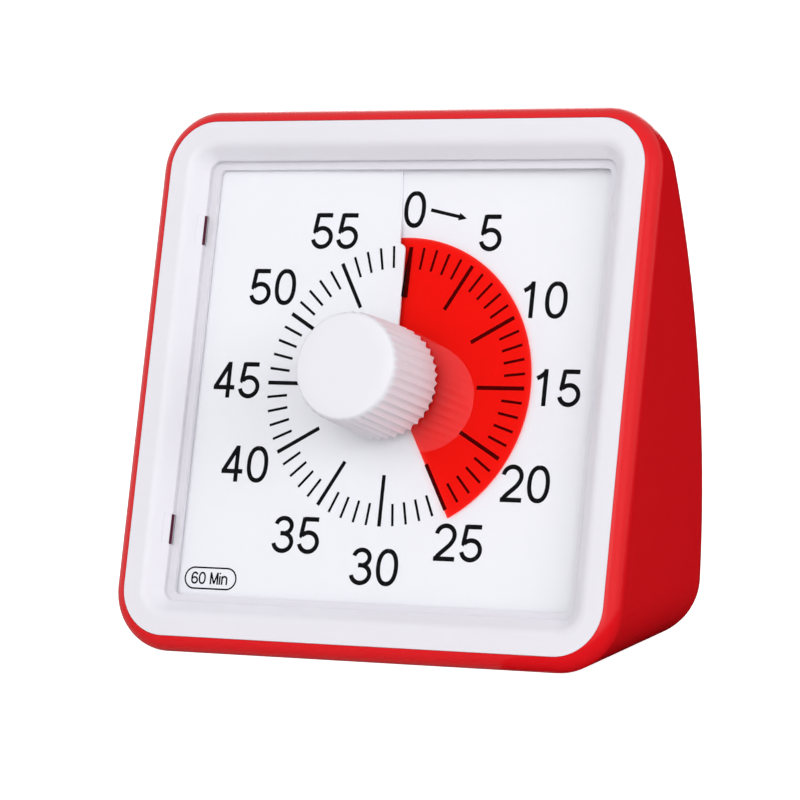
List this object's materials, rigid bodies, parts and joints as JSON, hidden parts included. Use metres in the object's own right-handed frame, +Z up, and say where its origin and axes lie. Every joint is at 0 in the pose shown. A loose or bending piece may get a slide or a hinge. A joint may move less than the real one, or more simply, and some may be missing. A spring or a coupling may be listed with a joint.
{
  "type": "visual countdown timer",
  "caption": "Free-standing visual countdown timer: leaning square red case, white bezel, clear lens, printed minute dial, red film disc on a ribbed knob.",
  "frame": {"origin": "on the ground under the middle of the bounding box", "axes": "+X to the right seen from the front, -Y out of the dial side, +Z up"},
  "size_m": [0.14, 0.0657, 0.1334],
  "materials": {
    "case_red": "satin gloss moulding",
    "frame_white": "smooth satin moulding",
    "lens_clear": "clear polished",
    "card_white": "printed card",
    "film_red": "thin film",
    "hub_white": "satin",
    "knob_white": "fine satin",
    "shaft_natural": "natural",
    "steel": "plated",
    "carrier_grey": "plain moulding",
    "movement_black": "plain moulding",
    "gear_cream": "plain moulding",
    "rotor_dark": "ground magnet",
    "copper": "enamelled copper wire",
    "board_green": "solder mask",
    "chip_black": "moulded",
    "cell_jacket": "printed jacket",
    "brass": "rolled sheet",
    "lead_red": "insulated wire",
    "lead_black": "insulated wire",
    "lead_yellow": "insulated wire"
  },
  "bodies": {
    "case_body": {"rear_housing": "case_red", "front_frame": "frame_white", "lens": "lens_clear", "dial_card": "card_white", "dial_carrier": "carrier_grey", "carrier_screws": "steel", "movement_front_case": "movement_black", "movement_rear_case": "movement_black", "movement_screws": "steel", "gear_bridge": "shaft_natural", "bridge_screws": "steel", "stator": "steel", "coil_bobbin": "gear_cream", "coil_winding": "copper", "circuit_board": "board_green", "chip": "chip_black", "crystal": "steel", "battery_bay": "carrier_grey", "battery_cell": "cell_jacket", "battery_contact": "steel", "battery_spring": "steel", "sounder_holder": "movement_black", "sounder_disc": "brass", "switch_body": "movement_black", "battery_leads": "lead_red", "switch_leads": "lead_black", "sounder_leads": "lead_yellow"},
    "knob_body": {"knob": "knob_white", "knob_shaft": "shaft_natural", "shaft_clip": "steel", "clutch_spring": "steel"},
    "disc_body": {"disc_hub": "hub_white", "time_disc": "film_red"},
    "output_body": {"output_wheel": "gear_cream"},
    "third_body": {"third_wheel": "gear_cream"},
    "second_body": {"second_wheel": "gear_cream"},
    "rotor_body": {"rotor": "rotor_dark"},
    "door_body": {"battery_door": "case_red"},
    "switch_body_moving": {"switch_slider": "knob_white"}
  },
  "joints": [
    {"name": "knob_turn", "type": "hinge", "parent": "case_body", "child": "knob_body", "pos_m": [0, -0.00276, 0.06531], "axis": [0, 0.9511, -0.309], "range_deg": [-150, 210]},
    {"name": "disc_shift", "type": "slide", "parent": "knob_body", "child": "disc_body", "axis": [0, -0.9511, 0.309], "range_m": [-0.00075, 0.00105]},
    {"name": "output_turn", "type": "hinge", "parent": "case_body", "child": "output_body", "pos_m": [0, -0.00276, 0.06531], "axis": [0, 0.9511, -0.309], "continuous": true},
    {"name": "third_turn", "type": "hinge", "parent": "case_body", "child": "third_body", "pos_m": [0, 0.00075, 0.04051], "axis": [0, 0.9511, -0.309], "continuous": true},
    {"name": "second_turn", "type": "hinge", "parent": "case_body", "child": "second_body", "pos_m": [-0.01149, 0.00563, 0.04906], "axis": [0, 0.9511, -0.309], "continuous": true},
    {"name": "rotor_turn", "type": "hinge", "parent": "case_body", "child": "rotor_body", "pos_m": [-0.01866, 0.01069, 0.05818], "axis": [0, 0.9511, -0.309], "continuous": true},
    {"name": "door_pull", "type": "slide", "parent": "case_body", "child": "door_body", "axis": [0, 1, 0], "range_m": [0, 0.03]},
    {"name": "switch_slide", "type": "slide", "parent": "case_body", "child": "switch_body_moving", "axis": [1, 0, 0], "range_m": [0, 0.004]}
  ],
  "couplings": [
    {"joint": "disc_shift", "follows": "knob_turn", "m_per_rad": 0.00028648},
    {"joint": "third_turn", "follows": "output_turn", "ratio": -8},
    {"joint": "second_turn", "follows": "output_turn", "ratio": 40},
    {"joint": "rotor_turn", "follows": "output_turn", "ratio": -160}
  ]
}
